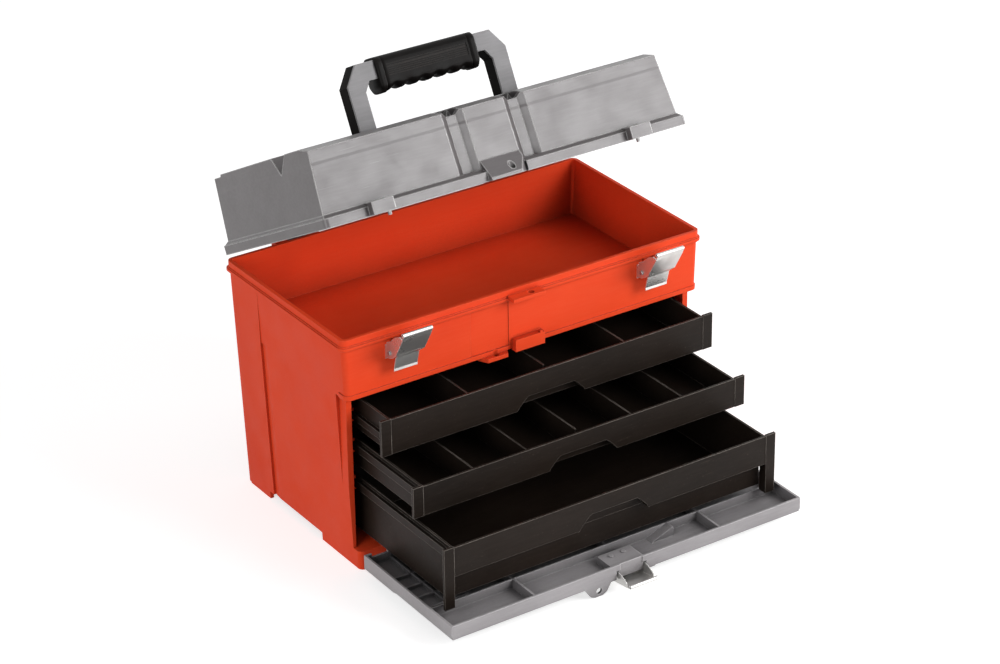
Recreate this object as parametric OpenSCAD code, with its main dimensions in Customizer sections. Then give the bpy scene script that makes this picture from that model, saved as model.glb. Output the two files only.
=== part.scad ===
// Portable tool box with an upper compartment, three drawers and a drop-down front panel.
// Millimetres. X runs to the right, the front faces -Y, Z is up.
// The origin is on the standing surface, under the middle of the body.

/* [Body] */
// Width over the bead round the body's rim
rim_w = 457; // [440:1:460]
// Depth over the bead round the body's rim, front to back
rim_d = 239.4; // [232:0.2:242]
// Height of the rim's top edge
rim_top = 272.1; // [268:0.1:276]
// Height of the rim band above its bead
rim_h = 7; // [6:0.5:10]
// How far the bead stands out from the walls
rim_out = 3.3; // [1.5:0.1:4]
// Wall thickness of the body
wall = 3; // [2.4:0.1:3.4]
// How far each side wall leans in from the rim down to the floor
side_taper = 10.75; // [6:0.05:12]
// Radius of the upright corners
corner_r = 6; // [4:0.5:14]
// Underside of the upper compartment, which is the roof of the drawer cabinet
deck_z = 202.4; // [201:0.1:204]
// Top of the cabinet's base shelf
shelf_z = 22; // [20:0.5:23]
// How far the toe of the base stands forward of the middle
toe_front = 119.6; // [118:0.1:121]

/* [Lid] */
// Angle at which the lid stands open
lid_open = 28.13; // [10:0.01:80]
// Height of the lid's top above the hinge
lid_h = 83; // [80:0.5:86]
// Height of the lid's edge flange
flange_h = 9.5; // [8:0.5:11]

/* [Handle] */
// Half of the handle's width
handle_half = 99; // [96:0.5:100]
// Width of each leg, seen from the front
leg_w = 19; // [17:0.5:21]
// How far the handle stands above the lid's top
handle_rise = 71; // [66:0.5:74]
// Half of the grip's length
grip_half = 62; // [56:0.5:64]

/* [Drawers] */
// How far the top drawer is pulled out
top_out = 57.5; // [20:0.5:120]
// How far the middle drawer is pulled out
middle_out = 115.4; // [60:0.5:140]
// How far the bottom drawer is pulled out
bottom_out = 170.4; // [120:0.5:172]
// Half of the width of the drawer fronts
front_half = 210.3; // [208:0.1:210.6]
// Half of the width over the drawer side walls
box_half = 199; // [196:0.1:200]
// Depth of a drawer from its front face to its back
drawer_depth = 205; // [190:1:208]

/* [Front panel] */
// Half of the panel's width
panel_half = 222.4; // [220:0.1:223]
// Length of the panel from its hinged edge to its free edge
panel_len = 165.4; // [160:0.1:166]
// Height of the panel's rim over its outer face
panel_rim = 16.2; // [14:0.1:17]
// Angle by which the panel hangs below level
panel_droop = 0.55; // [0:0.05:0.8]

/* [Latches] */
// Distance of each side latch from the middle
latch_x = 158.6; // [150:0.1:162]
// Angle at which the side latches lean out
latch_lean = 28.1; // [10:0.1:30]
// Height of a latch plate, from its finger lip to its rolled hook
latch_h = 56.3; // [54:0.1:57]

/* [Hidden] */
$fn = 48;
far = 600;
cut = 1;

red = "#e04c2e";
grey = "#9a9a9c";
black = "#2a2826";
rubber_black = "#161616";
chrome = "#c8c8cc";
steel = "#b0b0b4";

// ---- body ----
rim_half = rim_w / 2;
wall_half_top = rim_half - rim_out;
wall_half = wall_half_top - side_taper;
lean = atan(side_taper / rim_top);
wall_y = rim_d / 2 - rim_out;
rim_z = rim_top - rim_h;
band_out = 1;
bead_h = 5.5;
bead_edge = 1.3;
bead_z = rim_z - bead_h;
deck_t = 3;
deck_top = deck_z + deck_t;
shelf_t = 3;
// The side walls end here, and the closed panel's rim meets them
rabbet_y = 94.7;
// A lip frames the drawer opening
frame_y = 107;
frame_in = 211.6;
frame_out = 218.2;
// Rear part of each side wall, which stands a little proud
proud = 1.2;
proud_y = 56;
ramp_w = 12;
ramp_d = 1.4;
ramp_end = 0.3;
proud_top = 197;
foot_raise = 9;
foot_front_y = -42;
foot_rear_y = 64.7;
keel_w = 16;
lip_h = 5;
lip_out = 1.2;
lip_wrap = 14;

// ---- front wall fittings ----
step_x0 = -70.3;
step_x1 = -22.8;
step_d = 0.8;
catch_x0 = -19;
catch_x1 = 18;
catch_z0 = 200.8;
catch_top = 214.8;
catch_y = 124;
catch_gap = 6;
lock_hole_r = 3.5;
low_hole_r = 3.5;
rim_tab_x0 = -25;
rim_tab_x1 = 15;
rim_tab_z = 262;
rim_tab_t = 4;
rim_tab_y = 130;
rim_hole_x = 1;
rim_hole_y = -123.5;
peg_r = 1.6;
peg_h = 3.4;
low_tab_x0 = -60;
low_tab_x1 = -23;
low_tab_y = 124.1;
panel_hole_x = -41;
// The lower tab's hole also clears the lip above it
low_hole_y = -119.4;
low_hole_z0 = 192.4;
low_hole_z1 = 208.4;
stop_w = 3;
stop_h = 2;

// ---- hinges ----
hinge_y = 124.25;
hinge_z = 273.2;
hinge_r = 5;
hinge_pin_r = 2;
run_fit = 0.05;
hinge_xs = [-137, 137];
knuckle_half = 12;
knuckle_outer = 27;
knuckle_gap = 0.5;
panel_pivot_y = -117;
panel_pivot_z = 10;
panel_pin_r = 2;
panel_hinge_xs = [-150, 150];
ear_half = 7.5;
ear_r = 5.2;
boss_out = 0.2;
panel_pin_half = 16;
ear_gap = 0.6;
boss_w = 10;
ear_slot_y = -103;
ear_slot_z = 3;

// ---- drawers ----
closed_front = -104;
front_t = 2.5;
box_t = 2.2;
floor_t = 2;
rib_out = 4;
rail_gap = 0.4;
rail_t = 3;
rail_side_gap = 1.2;
rail_front = 92;
rail_rear = 104.4;
// Each drawer: front's bottom, front's top, box's bottom, bottom and top of its side rib
top_z = [154.2, 194.2, 155.2, 166, 174];
middle_z = [109.7, 143.6, 110.7, 129.6, 138.6];
bottom_z = [64.8, 98.8, 34.5, 85, 94];
leg_bottom = 29.1;
leg_depth = 10;
leg_face_w = 12;
step_in = 12;
notch_low = 44;
notch_high = 33;
notch_h = 15.3;
scoop_t = 1.8;
scoop_depth = 14;
divider_t = 1.6;
divider_gap = 0.3;
slot_t = 1.6;
slot_d = 2.5;
side_rib_start = 12;
ear_h = 0.6;

// ---- front panel ----
panel_y = -139.6;
panel_z = 15.6;
panel_t = 3;
panel_rim_t = 2.5;
rib_t = 2;
rib_top = 13.5;
cell_top = 7;
cell_w = 28;
cell_pitch = 22;
cell_y = 20;
ramp_low = 0.4;
ramp_x0 = 50;
ramp_x1 = 78;
ramp_deep = 11;
web_half = 15.4;
notch_floor = 11.8;
leg_play = 4;
lug_t = 3;
rib_s = 120;
bay_x = 118;

// ---- lid ----
lid_front_low = -114;
lid_front_top = -111;
lid_slope_y = -91.5;
lid_step_y = 97;
lid_rear = 113.3;
lid_low = 12.8;
lid_front_h = 79;
lid_rear_h = 80.5;
lid_half_low = 220.3;
lid_half_top = 215;
lid_t = 3;
lid_seat = -0.8;
flange_half = 224.5;
flange_front = -122.5;
flange_rear = 121.5;
chamfer_turn = 19;
chamfer_back = 14;
chamfer_lean = 4.4;
chamfer_cut = 60;
channel_xs = [-43.2, 33.1];
channel_open = 26;
channel_left = 4.5;
channel_right = 7;
channel_d = 7;
scoop_r = 12;
scoop_sink = 9;
channel_end_y = -76;
v_y = -43;
v_half = 17;
v_d = 20;
lug_x = 160;
lug_w = 26;
lug_y = -132;
lug_top = 13.1;
tab_x0 = -29;
tab_x1 = 20;
tab_y = -129.5;
tab_top = 22;
tab_edge = 3;
tab_bevel = 12;
key_x = 5.5;
key_half = 1.5;
key_in = 1;
key_t = 3;
key_drop = 4;

// ---- handle ----
handle_y0 = -14.4;
handle_y1 = 6.7;
handle_mid = (handle_y0 + handle_y1) / 2;
pivot_drop = 13;
handle_pivot_z = lid_h - pivot_drop;
leg_r = 10.4;
handle_pin_r = 4;
corner_rise = 50;
corner_in = 15;
bar_h = 20;
face_t = 3;
recess_half = 100.4;
recess_y0 = -16.4;
recess_y1 = 84;
recess_d = 29.7;
grip_low = 35;
grip_high = 74;
grip_y0 = -18.9;
grip_y1 = 11.1;
scallop_r = 12;
scallop_d = 3.5;
scallops = 6;

// ---- latches ----
sheet = 0.9;
plate_half = 17.5;
tail_half = 14;
pivot_u = 17;
pivot_w = -11;
roll_r = 2.2;
fold_u = 16.8;
fold_w = -4;
latch_pin_r = 1.5;
pin_head_r = 2.6;
pin_head_t = 1;
pin_play = 0.3;
tail_t = 0.8;
pivot_y = -126.9;
pivot_z = 248.8;
base_ear_r = 4;
base_ear_x = 16.2;
base_ear_t = 1;
base_z0 = 238;
base_z1 = 254;
rivet_r = 1.9;
rivet_head_r = 3.2;
rivet_head_h = 1.3;
rivet_x = 8;
rivet_up = 4.5;
panel_latch_turn = -10;
panel_pivot_s = 146.4;
panel_pivot_h = 1.9;
pocket_half = 19;
pocket_wall = 1.5;
pocket_s0 = 134;
pocket_top = 9.6;

function wall_mid(z) = wall_half + z * tan(lean) - wall / 2;

// ================= shared shapes =================

module box(x0, x1, y0, y1, z0, z1) {
    translate([x0, y0, z0])
        cube([x1 - x0, y1 - y0, z1 - z0]);
}

module along_x(x0, x1) {
    translate([x0, 0, 0])
        rotate([90, 0, 90])
            linear_extrude(x1 - x0)
                children();
}

module along_y(y0, y1) {
    translate([0, y1, 0])
        rotate([90, 0, 0])
            linear_extrude(y1 - y0)
                children();
}

module rod_x(x0, x1, y, z, r) {
    translate([x0, y, z])
        rotate([0, 90, 0])
            cylinder(h = x1 - x0, r = r);
}

module both_sides() {
    children();
    mirror([1, 0, 0])
        children();
}

module rounded(w, d, r) {
    for (sx = [-1, 1])
        for (sy = [-1, 1])
            translate([sx * (w / 2 - r), sy * (d / 2 - r)])
                circle(r);
    square([w - 2 * r, d], center = true);
    square([w, d - 2 * r], center = true);
}

// One side of a leaning tub: a rounded plan swept up along the leaning side wall
module leaning_side(side, inset, y0, y1, r) {
    reach = far;
    translate([side * (wall_half - inset), 0, 0])
        rotate([0, side * lean, 0])
            translate([-side * reach / 2, (y0 + y1) / 2, -far / 2])
                linear_extrude(far * 1.5)
                    rounded(reach, y1 - y0, r);
}

// Solid inside the leaning side walls, with round upright corners
module tub(inset, y0, y1, z0, z1, r) {
    intersection() {
        box(-far, far, -far, far, z0, z1);
        leaning_side(1, inset, y0, y1, r);
        leaning_side(-1, inset, y0, y1, r);
    }
}

module in_lid() {
    translate([0, hinge_y, hinge_z])
        rotate([-lid_open, 0, 0])
            translate([0, -hinge_y, 0])
                children();
}

module in_panel() {
    translate([0, panel_y, panel_z])
        rotate([panel_droop, 0, 0])
            children();
}

// ================= body =================

module body_walls() {
    difference() {
        union() {
            tub(0, -wall_y, wall_y, deck_z, rim_top, corner_r);
            tub(0, -wall_y, wall_y, shelf_z - cut, deck_z + cut, corner_r);
            tub(0, -toe_front, wall_y, 0, shelf_z, corner_r);
            rear_proud();
            rim_ring(band_out, rim_z - cut, rim_top);
            rim_ring(rim_out - bead_edge, bead_z, rim_z);
            rim_ring(rim_out, bead_z + bead_edge, rim_z - bead_edge);
            bottom_lip();
        }
        tub(wall, -wall_y + wall, wall_y - wall, deck_top, far, corner_r - wall);
        cabinet_hollow();
        base_hollow();
        side_ramp();
        box(step_x0, step_x1, -far, -wall_y + step_d, deck_z + lip_h, bead_z - cut);
    }
}

// A ring round the top of the walls
module rim_ring(out, z0, z1) {
    translate([0, 0, z0])
        linear_extrude(z1 - z0)
            rounded(2 * (wall_half_top + out), 2 * (wall_y + out), corner_r + out);
}

// The rear of each side stands proud, and runs out to nothing under the rim
module rear_proud() {
    low = wall_half + proud;
    high = wall_half + proud_top * tan(lean) + proud;
    top = wall_half + bead_z * tan(lean);
    along_y(proud_y, wall_y - corner_r - 4)
        polygon([[-low, 0], [low, 0], [high, proud_top], [top, bead_z], [-top, bead_z],
            [-high, proud_top]]);
}

// Slanted hollow down each side, in front of the proud part
module side_ramp() {
    both_sides()
        translate([wall_half, 0, 0])
            rotate([0, lean, 0])
                translate([0, 0, -2 * corner_r])
                    linear_extrude(proud_top + 2 * corner_r)
                        polygon([[2 * proud, proud_y - ramp_w], [0, proud_y - ramp_w],
                            [-ramp_d, proud_y + ramp_end], [2 * proud, proud_y + ramp_end]]);
}

module bottom_lip() {
    intersection() {
        tub(-lip_out, -wall_y - lip_out, wall_y, deck_z, deck_z + lip_h, corner_r + lip_out);
        box(-far, far, -far, -wall_y + lip_wrap, deck_z, far);
    }
}

module cabinet_hollow() {
    // Behind the frame, between the leaning walls
    tub(wall, -rabbet_y + wall, wall_y - wall, shelf_z, deck_z, corner_r - wall);
    // The drawer opening
    box(-frame_in, frame_in, -far, 0, shelf_z, deck_z);
    // Clear space in front of the frame lip
    box(-far, far, -far, -frame_y, shelf_z, deck_z);
    // Rabbets that take the sides of the closed panel
    both_sides()
        box(frame_out, far, -far, -rabbet_y, shelf_z, deck_z);
}

module base_hollow() {
    difference() {
        tub(wall, -toe_front + wall, wall_y - wall, -cut, shelf_z - shelf_t, corner_r - wall);
        box(-keel_w / 2, keel_w / 2, -far, far, 0, far);
        for (x = panel_hinge_xs)
            box(x - ear_half - ear_gap - boss_w, x + ear_half + ear_gap + boss_w,
                -far, panel_pivot_y + 12, 0, far);
    }
    // The middle of each long side stands clear of the ground
    box(-far, far, foot_front_y, foot_rear_y, -cut, foot_raise);
}

module keel() {
    box(-keel_w / 2, keel_w / 2, foot_front_y - wall, foot_rear_y + wall, 0, foot_raise + cut);
}

module drawer_rails() {
    for (z = [top_z, middle_z, bottom_z])
        both_sides() {
            box(box_half + rail_side_gap, wall_mid(z[3]), -rail_front, rail_rear,
                z[3] - rail_gap - rail_t, z[3] - rail_gap);
            box(box_half + rail_side_gap, wall_mid(z[4]), -rail_front, rail_rear,
                z[4] + rail_gap, z[4] + rail_gap + rail_t);
        }
}

module body_knuckles() {
    for (x = hinge_xs)
        for (side = [-1, 1]) {
            x0 = x + side * (knuckle_half + knuckle_outer) / 2 - (knuckle_outer - knuckle_half) / 2;
            x1 = x0 + knuckle_outer - knuckle_half;
            rod_x(x0, x1, hinge_y, hinge_z, hinge_r);
            along_x(x0, x1)
                polygon([[wall_y - cut, bead_z - 2], [wall_y - cut, rim_top - cut],
                    [hinge_y, rim_top], [hinge_y + hinge_r, hinge_z], [hinge_y + 3, rim_z - cut]]);
        }
}

module front_fittings() {
    // Catch block for the panel latch
    box(catch_x0, catch_x1, -catch_y, -wall_y + cut, catch_z0, catch_top);
    box(catch_x1 - 2 * stop_w, catch_x1 - stop_w, -catch_y, -catch_y + stop_w, catch_top - cut,
        catch_top + stop_h);
    // Upper padlock tab, under the rim
    box(rim_tab_x0, rim_tab_x1, -rim_tab_y, -wall_y + cut, rim_tab_z, rim_tab_z + rim_tab_t);
    // Lower padlock tab, under the compartment
    translate([0, 0, panel_top_z + 0.4])
        linear_extrude(deck_z - panel_top_z)
            polygon([[low_tab_x0, -wall_y + 4], [low_tab_x0 + 6, -low_tab_y],
                [low_tab_x1 - 6, -low_tab_y], [low_tab_x1, -wall_y + 4]]);
    // Small pegs over the side latches
    for (side = [-1, 1])
        for (dx = [-7, 5])
            translate([side * latch_x + dx, -wall_y + cut, bead_z - peg_r])
                rotate([90, 0, 0])
                    cylinder(h = peg_h, r = peg_r);
}

panel_top_z = panel_pivot_z + panel_pivot_y - (panel_y - panel_len);

module body_bores() {
    for (x = hinge_xs)
        rod_x(x - knuckle_outer - cut, x + knuckle_outer + cut, hinge_y, hinge_z, hinge_pin_r);
    translate([rim_hole_x, rim_hole_y, rim_tab_z - cut])
        cylinder(h = rim_tab_t + 2 * cut, r = lock_hole_r);
    translate([panel_hole_x, low_hole_y, low_hole_z0])
        cylinder(h = low_hole_z1 - low_hole_z0, r = low_hole_r);
    // Gap beside the catch block
    box(catch_x0 - catch_gap, catch_x0, -far, -wall_y - 0.3, deck_z - 2, deck_z + lip_h + cut);
    for (x = panel_hinge_xs) {
        box(x - ear_half - ear_gap, x + ear_half + ear_gap, -far, ear_slot_y, ear_slot_z,
            shelf_z + cut);
        rod_x(x - panel_pin_half, x + panel_pin_half, panel_pivot_y, panel_pivot_z, panel_pin_r);
    }
    for (side = [-1, 1])
        for (dx = [-rivet_x, rivet_x])
            translate([side * latch_x + dx, -wall_y - cut, base_z1 - rivet_up])
                rotate([-90, 0, 0])
                    cylinder(h = wall + 2 * cut, r = rivet_r);
}

module body() {
    color(red)
        difference() {
            union() {
                body_walls();
                keel();
                drawer_rails();
                body_knuckles();
                front_fittings();
            }
            body_bores();
        }
}

// ================= lid (drawn closed, with z measured from the hinge) =================

module lid_profile(inset) {
    polygon([[lid_front_low + inset, lid_low - inset * 8], [lid_front_top + inset, lid_front_h - inset],
        [lid_slope_y + inset / 3, lid_h - inset], [lid_step_y - inset / 3, lid_h - inset],
        [lid_step_y + 1 - inset / 3, lid_rear_h - inset], [lid_rear - inset, lid_rear_h - inset],
        [lid_rear - inset, lid_low - inset * 8]]);
}

module lid_plan(inset) {
    polygon([[-lid_half_low + inset, lid_low - inset * 8], [-lid_half_top + inset, lid_h + cut],
        [lid_half_top - inset, lid_h + cut], [lid_half_low - inset, lid_low - inset * 8]]);
}

module lid_block(inset) {
    difference() {
        intersection() {
            along_x(-far / 2, far / 2)
                lid_profile(inset);
            along_y(-far / 2, far / 2)
                lid_plan(inset);
        }
        // Bevelled front corners
        for (side = [-1, 1])
            translate([side * (lid_half_low - inset), lid_front_low + chamfer_back + inset / 3,
                lid_low])
                rotate([0, -side * chamfer_lean, side * chamfer_turn])
                    box(side > 0 ? 0 : -chamfer_cut, side > 0 ? chamfer_cut : 0, -chamfer_cut, 0,
                        -chamfer_cut / 2, 1.5 * chamfer_cut);
    }
}

module v_groove(grow) {
    along_x(-far / 2, far / 2)
        polygon([[v_y - v_half - grow * 1.4, lid_h + cut], [v_y, lid_h - v_d - grow * 1.5],
            [v_y + v_half + grow * 1.4, lid_h + cut]]);
}

module channels(grow) {
    for (x = channel_xs) {
        // Down the front wall
        translate([x, lid_front_low + grow, lid_low - grow])
            rotate([-2.6, 0, 0])
                linear_extrude(80)
                    polygon([[-channel_open / 2 - grow / 2, -8], [channel_open / 2 + grow / 2, -8],
                        [channel_open / 2 + grow / 2, 0], [channel_right + grow / 2, channel_d],
                        [-channel_left - grow / 2, channel_d], [-channel_open / 2 - grow / 2, 0]]);
        // Over the shoulder
        translate([x, lid_front_top, 0])
            along_y(-8, channel_end_y - lid_front_top + grow)
                polygon([[-channel_open / 2 - grow / 2, lid_h + cut],
                    [-channel_open / 2 - grow / 2, lid_h - 1 - grow],
                    [-channel_left - grow / 2, lid_h - channel_d - 1 - grow],
                    [channel_right + grow / 2, lid_h - channel_d - 1 - grow],
                    [channel_open / 2 + grow / 2, lid_h - 1 - grow],
                    [channel_open / 2 + grow / 2, lid_h + cut]]);
        // Round scoop behind the shoulder
        rod_x(x - channel_open / 2 - grow / 2, x + channel_open / 2 + grow / 2,
            lid_slope_y, lid_h + scoop_r - scoop_sink, scoop_r + grow);
    }
}

module handle_recess(grow) {
    box(-recess_half - grow, recess_half + grow, recess_y0 - grow, recess_y1 + grow,
        lid_h - recess_d - grow, lid_h + cut);
}

module lid_flange() {
    difference() {
        union() {
            translate([0, (flange_front + flange_rear) / 2, lid_seat])
                linear_extrude(flange_h - lid_seat)
                    rounded(2 * flange_half, flange_rear - flange_front, 5);
            lid_block_foot();
        }
        translate([0, (flange_front + flange_rear) / 2, lid_seat - cut])
            linear_extrude(far)
                rounded(2 * (lid_half_low - lid_t), lid_rear - lid_front_low - 2 * lid_t, 8);
        // The padlock tab takes the flange's place
        box(tab_x0, tab_x1, -far, lid_front_low - 3, -cut * 2, flange_h + cut);
    }
}

// Sloping shoulder between the flange and the walls
module lid_block_foot() {
    intersection() {
        along_x(-flange_half + 2, flange_half - 2)
            polygon([[flange_front + 2, flange_h - cut], [lid_front_low - cut, lid_low],
                [lid_rear + cut, lid_low], [flange_rear - 2, flange_h - cut]]);
        along_y(flange_front, flange_rear)
            polygon([[-flange_half + 1, flange_h - cut], [-lid_half_low, lid_low],
                [lid_half_low, lid_low], [flange_half - 1, flange_h - cut]]);
    }
}

module lid_fittings() {
    for (side = [-1, 1]) {
        box(side * lug_x - lug_w / 2, side * lug_x + lug_w / 2, lug_y, lid_front_low + 2,
            lid_seat, lug_top);
        box(side * (lug_x - key_x) - key_half, side * (lug_x - key_x) + key_half, lug_y + key_in,
            lug_y + key_in + key_t, lid_seat - key_drop, lid_seat + cut);
    }
    difference() {
        along_x(tab_x0, tab_x1)
            polygon([[lid_front_low + 2, lid_seat], [tab_y, lid_seat], [tab_y, lid_seat + tab_edge],
                [lid_front_low, tab_top], [lid_front_low + 2, tab_top]]);
        translate([tab_x1 - tab_bevel, tab_y - cut, -far / 2])
            rotate([0, 0, -45])
                cube([far, far, far]);
    }
}

module lid_knuckles() {
    for (x = hinge_xs) {
        rod_x(x - knuckle_half + knuckle_gap, x + knuckle_half - knuckle_gap, hinge_y, 0, hinge_r);
        along_x(x - knuckle_half + knuckle_gap, x + knuckle_half - knuckle_gap)
            polygon([[flange_rear - 4, lid_seat], [flange_rear - 4, flange_h],
                [hinge_y, hinge_r], [hinge_y, lid_seat]]);
    }
}

module lid_shape() {
    difference() {
        union() {
            difference() {
                lid_block(0);
                v_groove(0);
                channels(0);
                handle_recess(0);
                difference() {
                    lid_block(lid_t);
                    v_groove(lid_t);
                    channels(lid_t);
                    handle_recess(lid_t);
                }
            }
            lid_flange();
            lid_fittings();
            lid_knuckles();
        }
        // Room for the body's knuckles, the hinge pins and the handle's pivots
        for (x = hinge_xs) {
            for (side = [-1, 1])
                rod_x(x + side * (knuckle_half + knuckle_outer) / 2 - 8,
                    x + side * (knuckle_half + knuckle_outer) / 2 + 8, hinge_y, 0, hinge_r + 0.8);
            rod_x(x - knuckle_outer, x + knuckle_outer, hinge_y, 0, hinge_pin_r + run_fit);
        }
        rod_x(-recess_half - 6, recess_half + 6, handle_mid, handle_pivot_z, handle_pin_r + run_fit);
        translate([rim_hole_x, rim_hole_y, -far / 2])
            cylinder(h = far, r = lock_hole_r);
    }
}

module lid() {
    color(grey)
        in_lid()
            lid_shape();
}

module lid_hinge_pins() {
    color(steel)
        for (x = hinge_xs)
            rod_x(x - knuckle_outer, x + knuckle_outer, hinge_y, hinge_z, hinge_pin_r);
}

// ================= handle =================

module handle_outline() {
    top = lid_h + handle_rise;
    difference() {
        polygon([[-handle_half, handle_pivot_z], [-handle_half, lid_h + corner_rise],
            [-handle_half + corner_in, top], [handle_half - corner_in, top],
            [handle_half, lid_h + corner_rise], [handle_half, handle_pivot_z]]);
        polygon([[-handle_half + leg_w, -far], [-handle_half + leg_w, lid_h + corner_rise - 10],
            [-handle_half + leg_w + corner_in / 2, top - bar_h],
            [handle_half - leg_w - corner_in / 2, top - bar_h],
            [handle_half - leg_w, lid_h + corner_rise - 10], [handle_half - leg_w, -far]]);
    }
}

module handle_bar_shape(y0, y1) {
    along_y(y0, y1)
        handle_outline();
}

module handle_frame() {
    color(black)
        in_lid()
            difference() {
                union() {
                    handle_bar_shape(handle_y0 + face_t, handle_y1);
                    both_sides()
                        rod_x(handle_half - leg_w, handle_half, handle_mid, handle_pivot_z, leg_r);
                    both_sides()
                        box(handle_half - leg_w, handle_half, handle_y0, handle_y1,
                            handle_pivot_z, handle_pivot_z + leg_r);
                }
                rod_x(-far / 2, far / 2, handle_mid, handle_pivot_z, handle_pin_r);
            }
}

module handle_face() {
    color(grey)
        in_lid()
            intersection() {
                handle_bar_shape(handle_y0, handle_y0 + face_t);
                box(-far, far, -far, far, handle_pivot_z + leg_r, far);
            }
}

module handle_grip() {
    top = lid_h + handle_rise;
    pitch = 2 * (grip_half - 8) / scallops;
    color(rubber_black)
        in_lid()
            difference() {
                translate([-grip_half, (grip_y0 + grip_y1) / 2, lid_h + (grip_low + grip_high) / 2])
                    rotate([90, 0, 90])
                        linear_extrude(2 * grip_half)
                            rounded(grip_y1 - grip_y0, grip_high - grip_low, 9);
                box(-far, far, handle_y0, handle_y1, top - bar_h, top);
                for (i = [0 : scallops - 1])
                    translate([-grip_half + 8 + pitch * (i + 0.5), far / 2,
                        lid_h + grip_low + scallop_d - scallop_r])
                        rotate([90, 0, 0])
                            cylinder(h = far, r = scallop_r);
            }
}

module handle_pins() {
    color(steel)
        in_lid()
            both_sides()
                rod_x(handle_half - leg_w, recess_half + 5, handle_mid, handle_pivot_z,
                    handle_pin_r);
}

// ================= drawers =================

module notch_shape(z0, grow) {
    polygon([[-notch_low - grow, z0 - cut], [-notch_low + 2 - grow, z0 + 3],
        [-notch_high - grow, z0 + notch_h - 3 + grow], [-notch_high + 4 - grow / 2, z0 + notch_h + grow],
        [notch_high - 4 + grow / 2, z0 + notch_h + grow], [notch_high + grow, z0 + notch_h - 3 + grow],
        [notch_low - 2 + grow, z0 + 3], [notch_low + grow, z0 - cut]]);
}

// Open box behind a drawer's front, with runner ribs on its sides
module drawer_box(z, front, half) {
    difference() {
        box(-half, half, front, drawer_depth, z[2], z[1] - 1);
        box(-half + box_t, half - box_t, front + box_t, drawer_depth - box_t, z[2] + floor_t, far);
    }
    both_sides()
        box(half - cut, half + rib_out, side_rib_start, drawer_depth - 2, z[3], z[4]);
}

module drawer_front(z) {
    box(-front_half, front_half, 0, front_t, z[0], z[1]);
    // Ears at the ends stand a little higher and further forward
    both_sides()
        box(box_half - 1, front_half, -ear_h, front_t, z[0], z[1] + 1);
}

module finger_scoop(z) {
    difference() {
        along_y(0, scoop_depth)
            notch_shape(z[0], scoop_t);
        along_y(-cut, scoop_depth - scoop_t)
            notch_shape(z[0] - cut, 0);
        box(-far, far, -far, far, -far, z[0]);
    }
}

module divider_slots(z, cells, front) {
    for (i = [1 : cells - 1]) {
        x = -box_half + i * 2 * box_half / cells;
        for (side = [-1, 1]) {
            x0 = x + side * (divider_t / 2 + divider_gap + slot_t / 2) - slot_t / 2;
            box(x0, x0 + slot_t, drawer_depth - box_t - slot_d, drawer_depth - box_t + 0.5,
                z[2] + 1, z[1] - 3);
            if (abs(x) > notch_low + 4)
                box(x0, x0 + slot_t, front - 0.5, front + slot_d, z[2] + 1, z[1] - 3);
        }
    }
}

module shallow_drawer(z, cells) {
    difference() {
        union() {
            drawer_front(z);
            drawer_box(z, 0.5, box_half);
            divider_slots(z, cells, front_t);
        }
        along_y(-2, front_t + 1)
            notch_shape(z[0], 0);
        along_y(front_t, scoop_depth - cut)
            notch_shape(z[0] - cut, scoop_t / 2);
    }
    finger_scoop(z);
}

module dividers(z, cells) {
    for (i = [1 : cells - 1]) {
        x = -box_half + i * 2 * box_half / cells;
        front = abs(x) > notch_low + 4 ? front_t + 0.6 : scoop_depth + 0.4;
        box(x - divider_t / 2, x + divider_t / 2, front, drawer_depth - box_t - 0.4,
            z[2] + floor_t + 0.1, z[1] - 4);
    }
}

top_cells = 4;
middle_cells = 6;

module top_drawer() {
    color(black)
        translate([0, closed_front - top_out, 0])
            shallow_drawer(top_z, top_cells);
}

module top_drawer_dividers() {
    color(black)
        translate([0, closed_front - top_out, 0])
            dividers(top_z, top_cells);
}

module middle_drawer() {
    color(black)
        translate([0, closed_front - middle_out, 0])
            shallow_drawer(middle_z, middle_cells);
}

module middle_drawer_dividers() {
    color(black)
        translate([0, closed_front - middle_out, 0])
            dividers(middle_z, middle_cells);
}

module bottom_drawer() {
    z = bottom_z;
    color(black)
        translate([0, closed_front - bottom_out, 0])
            difference() {
                union() {
                    drawer_front(z);
                    // Deep box, stepped back below the front
                    drawer_box(z, step_in, box_half);
                    box(-box_half, box_half, 0.5, step_in + box_t, z[0], z[1] - 1);
                    both_sides() {
                        box(front_half - leg_face_w, front_half, -ear_h, front_t, leg_bottom,
                            z[0] + cut);
                        box(front_half - leg_face_w, front_half - leg_face_w + front_t, 0, leg_depth,
                            leg_bottom, z[0] + cut);
                    }
                    along_y(0.5, step_in)
                        notch_shape(z[0], scoop_t);
                }
                box(-box_half + box_t, box_half - box_t, front_t, step_in + box_t + cut,
                    z[0] + notch_h + scoop_t, far);
                both_sides()
                    box(notch_low + scoop_t, box_half - box_t, front_t, step_in + box_t + cut,
                        z[0] + floor_t, far);
                along_y(-2, step_in - 0.5)
                    notch_shape(z[0], 0);
                box(-box_half, box_half, -cut, step_in, 0, leg_bottom);
            }
}

// ================= front panel (drawn flat, y runs back from the hinged edge) =================

module panel_tray() {
    difference() {
        box(-panel_half, panel_half, -panel_len, 0, 0, panel_rim);
        box(-panel_half + panel_rim_t, panel_half - panel_rim_t, -panel_len + panel_rim_t,
            -panel_rim_t, panel_t, far);
        // The lower edge of each side steps up towards the free end
        both_sides()
            along_x(panel_half - 1.2, panel_half + cut)
                polygon([[-far, -cut], [-far, 2.2], [-panel_len * 0.4, 2.2],
                    [-panel_len * 0.31, -cut]]);
        // Shallow recess in the free edge, over the latch
        box(-14, 14, -panel_len - cut, -panel_len + 1, -cut, panel_rim + cut);
    }
}

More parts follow.
